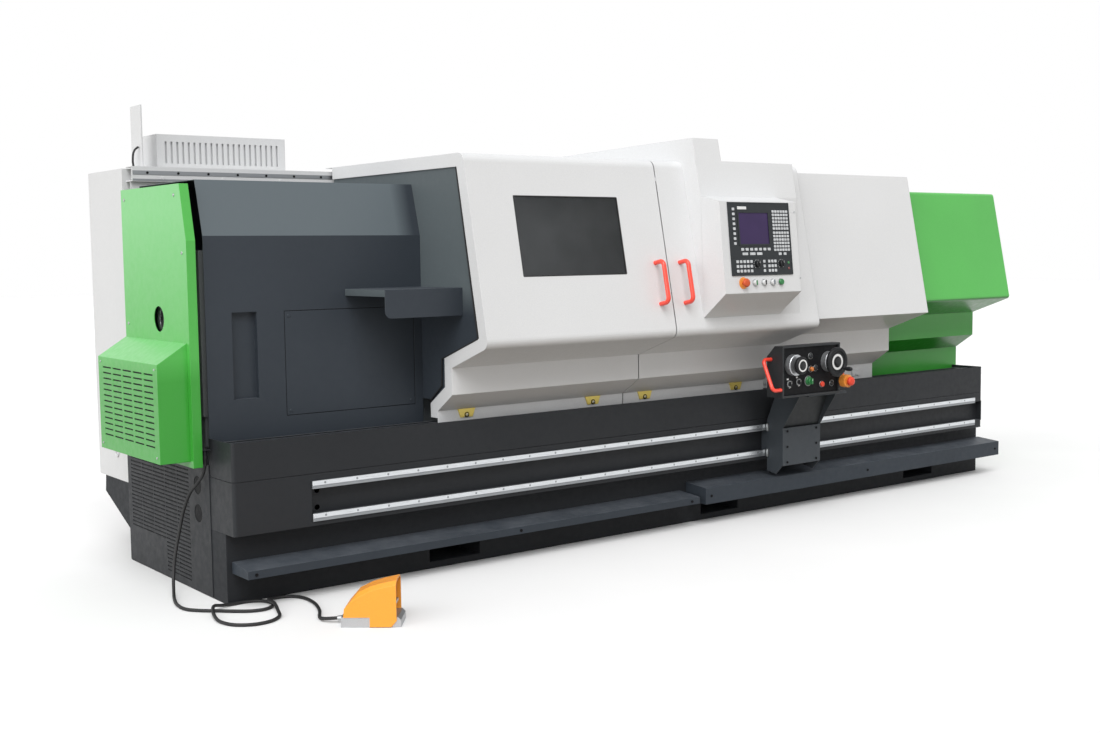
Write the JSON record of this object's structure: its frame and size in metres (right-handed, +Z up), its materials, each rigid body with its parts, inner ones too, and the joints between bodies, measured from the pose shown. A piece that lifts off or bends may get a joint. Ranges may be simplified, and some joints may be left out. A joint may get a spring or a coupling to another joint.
{
  "type": "engine lathe",
  "caption": "Large flat-bed engine lathe with computer control, sliding splash doors, a travelling control carriage, rear electrical cabinet and corded foot pedal.",
  "frame": {"origin": "on the floor under the centre of the cast base", "axes": "+X along the bed from headstock to tailstock, +Y from the operator side to the back, +Z up"},
  "size_m": [5.405, 2.265, 2.156],
  "materials": {
    "slate_paint": "satin",
    "green_paint": "satin",
    "white_paint": "satin",
    "grey_paint": "satin",
    "carriage_paint": "satin",
    "orange_paint": "satin",
    "red_paint": "gloss",
    "bed_iron": "machined",
    "steel": "machined",
    "rail_steel": "ground",
    "bronze": "machined",
    "dark_glass": "tinted",
    "black_plastic": "matte",
    "red_plastic": "gloss",
    "amber_plastic": "gloss",
    "green_plastic": "gloss",
    "black_rubber": "matte",
    "pedal_alloy": "satin"
  },
  "bodies": {
    "machine": {"base_frame": "slate_paint", "bed": "bed_iron", "left_end_panel": "slate_paint", "upper_skirt": "slate_paint", "lower_skirt": "slate_paint", "floor_trays": "slate_paint", "guide_rails": "rail_steel", "headstock_housing": "bed_iron", "headstock_cover": "slate_paint", "bulkhead": "slate_paint", "end_guard": "green_paint", "belt_cover": "green_paint", "electrical_cabinet": "grey_paint", "rear_wall": "grey_paint", "tail_cover": "green_paint", "main_motor": "bed_iron", "drive_belt": "black_rubber", "pedal_base": "pedal_alloy", "pedal_hood": "orange_paint", "pedal_cord": "black_rubber"},
    "left_door": {"left_door": "white_paint", "window_glass": "dark_glass", "left_handle": "red_paint", "left_rollers": "bronze"},
    "right_door": {"right_door": "white_paint", "pendant_box": "white_paint", "right_handle": "red_paint", "right_rollers": "bronze", "cnc_panel": "black_plastic"},
    "pendant_estop": {"pendant_estop": "red_plastic"},
    "feed_knob": {"feed_knob": "black_plastic"},
    "speed_knob": {"speed_knob": "black_plastic"},
    "start_button": {"start_button": "green_plastic"},
    "middle_cover": {"middle_cover": "white_paint"},
    "control_carriage": {"control_carriage": "carriage_paint", "control_box": "carriage_paint", "control_handles": "red_paint"},
    "left_handwheel": {"left_handwheel": "black_plastic"},
    "right_handwheel": {"right_handwheel": "black_plastic"},
    "control_estop": {"control_estop": "red_plastic"},
    "red_button": {"red_button": "red_plastic"},
    "orange_button": {"orange_button": "amber_plastic"},
    "green_selector": {"green_selector": "green_plastic"},
    "left_selector": {"left_selector": "black_plastic"},
    "right_selector": {"right_selector": "black_plastic"},
    "spindle": {"spindle": "steel", "chuck": "steel"},
    "jaw_1": {"jaw_1": "bed_iron"},
    "jaw_2": {"jaw_2": "bed_iron"},
    "jaw_3": {"jaw_3": "bed_iron"},
    "input_shaft": {"input_shaft": "steel"},
    "motor_pulley": {"motor_pulley": "steel"},
    "feed_screw": {"feed_screw": "steel"},
    "saddle": {"saddle": "bed_iron"},
    "cross_slide": {"cross_slide": "steel"},
    "tool_turret": {"tool_turret": "bed_iron"},
    "tailstock": {"tailstock": "green_paint"},
    "quill": {"quill": "steel"},
    "cabinet_door": {"cabinet_door": "grey_paint"},
    "pedal_treadle": {"pedal_treadle": "pedal_alloy"}
  },
  "joints": [
    {"name": "left_door_slide", "type": "slide", "parent": "machine", "child": "left_door", "axis": [-1, 0, 0], "range_m": [0, 1]},
    {"name": "right_door_slide", "type": "slide", "parent": "machine", "child": "right_door", "axis": [1, 0, 0], "range_m": [0, 0.95]},
    {"name": "middle_cover_slide", "type": "slide", "parent": "machine", "child": "middle_cover", "axis": [1, 0, 0], "range_m": [0, 0.9]},
    {"name": "carriage_slide", "type": "slide", "parent": "machine", "child": "control_carriage", "axis": [1, 0, 0], "range_m": [-2.7, 1.55]},
    {"name": "pendant_estop_press", "type": "slide", "parent": "right_door", "child": "pendant_estop", "axis": [0, 0.995, -0.0999], "range_m": [0, 0.006]},
    {"name": "feed_knob_turn", "type": "hinge", "parent": "right_door", "child": "feed_knob", "pos_m": [-0.004, -1.08286, 1.37272], "axis": [0, -0.995, 0.0999], "range_deg": [-135, 135]},
    {"name": "speed_knob_turn", "type": "hinge", "parent": "right_door", "child": "speed_knob", "pos_m": [0.167, -1.08286, 1.37272], "axis": [0, -0.995, 0.0999], "range_deg": [-135, 135]},
    {"name": "start_button_press", "type": "slide", "parent": "right_door", "child": "start_button", "axis": [0, 0.995, -0.0999], "range_m": [0, 0.004], "stiffness_N_per_m": 400, "springref_m": -0.004},
    {"name": "left_handwheel_spin", "type": "hinge", "parent": "control_carriage", "child": "left_handwheel", "pos_m": [0.379, -0.97, 0.845], "axis": [0, -1, 0], "continuous": true},
    {"name": "right_handwheel_spin", "type": "hinge", "parent": "control_carriage", "child": "right_handwheel", "pos_m": [0.655, -0.97, 0.848], "axis": [0, -1, 0], "continuous": true},
    {"name": "control_estop_press", "type": "slide", "parent": "control_carriage", "child": "control_estop", "axis": [0, 1, 0], "range_m": [0, 0.006]},
    {"name": "red_button_press", "type": "slide", "parent": "control_carriage", "child": "red_button", "axis": [0, 1, 0], "range_m": [0, 0.004], "stiffness_N_per_m": 400, "springref_m": -0.004},
    {"name": "orange_button_press", "type": "slide", "parent": "control_carriage", "child": "orange_button", "axis": [0, 1, 0], "range_m": [0, 0.004], "stiffness_N_per_m": 400, "springref_m": -0.004},
    {"name": "green_selector_turn", "type": "hinge", "parent": "control_carriage", "child": "green_selector", "pos_m": [0.5, -0.97, 0.754], "axis": [0, -1, 0], "range_deg": [-60, 60]},
    {"name": "left_selector_turn", "type": "hinge", "parent": "control_carriage", "child": "left_selector", "pos_m": [0.357, -0.97, 0.747], "axis": [0, -1, 0], "range_deg": [-45, 45]},
    {"name": "right_selector_turn", "type": "hinge", "parent": "control_carriage", "child": "right_selector", "pos_m": [0.426, -0.97, 0.753], "axis": [0, -1, 0], "range_deg": [-45, 45]},
    {"name": "spindle_spin", "type": "hinge", "parent": "machine", "child": "spindle", "pos_m": [-1.585, -0.127, 1.18], "axis": [1, 0, 0], "continuous": true},
    {"name": "jaw_1_slide", "type": "slide", "parent": "spindle", "child": "jaw_1", "axis": [0, 0, 1], "range_m": [-0.04, 0.05]},
    {"name": "jaw_2_slide", "type": "slide", "parent": "spindle", "child": "jaw_2", "axis": [0, -0.866, -0.5], "range_m": [-0.04, 0.05]},
    {"name": "jaw_3_slide", "type": "slide", "parent": "spindle", "child": "jaw_3", "axis": [0, 0.866, -0.5], "range_m": [-0.04, 0.05]},
    {"name": "input_shaft_spin", "type": "hinge", "parent": "machine", "child": "input_shaft", "pos_m": [-2.435, -0.237, 0.9555], "axis": [1, 0, 0], "continuous": true},
    {"name": "motor_spin", "type": "hinge", "parent": "machine", "child": "motor_pulley", "pos_m": [-2.585, 0.158, 0.9055], "axis": [1, 0, 0], "continuous": true},
    {"name": "saddle_slide", "type": "slide", "parent": "machine", "child": "saddle", "axis": [1, 0, 0], "range_m": [-0.85, 1.2]},
    {"name": "feed_screw_spin", "type": "hinge", "parent": "machine", "child": "feed_screw", "pos_m": [0.415, 0.153, 0.69], "axis": [1, 0, 0], "range_deg": [-17000, 23000]},
    {"name": "cross_slide", "type": "slide", "parent": "saddle", "child": "cross_slide", "axis": [0, 1, 0], "range_m": [-0.15, 0.1]},
    {"name": "turret_index", "type": "hinge", "parent": "cross_slide", "child": "tool_turret", "pos_m": [-0.085, -0.357, 1.1], "axis": [0, 0, 1], "continuous": true},
    {"name": "tailstock_slide", "type": "slide", "parent": "machine", "child": "tailstock", "axis": [1, 0, 0], "range_m": [-1.2, 0.2]},
    {"name": "quill_slide", "type": "slide", "parent": "tailstock", "child": "quill", "axis": [-1, 0, 0], "range_m": [0, 0.15]},
    {"name": "cabinet_door_hinge", "type": "hinge", "parent": "machine", "child": "cabinet_door", "pos_m": [-1.376, 0.9353, 1.1], "axis": [0, 0, 1], "range_deg": [-110, 0]},
    {"name": "treadle_hinge", "type": "hinge", "parent": "machine", "child": "pedal_treadle", "pos_m": [-2.30678, -1.12942, 0.058], "axis": [0.6225, 0.7826, 0], "range_deg": [0, 10], "stiffness_Nm_per_rad": 8, "springref_deg": -11.46}
  ],
  "couplings": [
    {"joint": "jaw_2_slide", "follows": "jaw_1_slide", "ratio": 1},
    {"joint": "jaw_3_slide", "follows": "jaw_1_slide", "ratio": 1},
    {"joint": "input_shaft_spin", "follows": "spindle_spin", "ratio": -1.5},
    {"joint": "motor_spin", "follows": "spindle_spin", "ratio": -1.875},
    {"joint": "feed_screw_spin", "follows": "saddle_slide", "rad_per_m": 314.16}
  ]
}
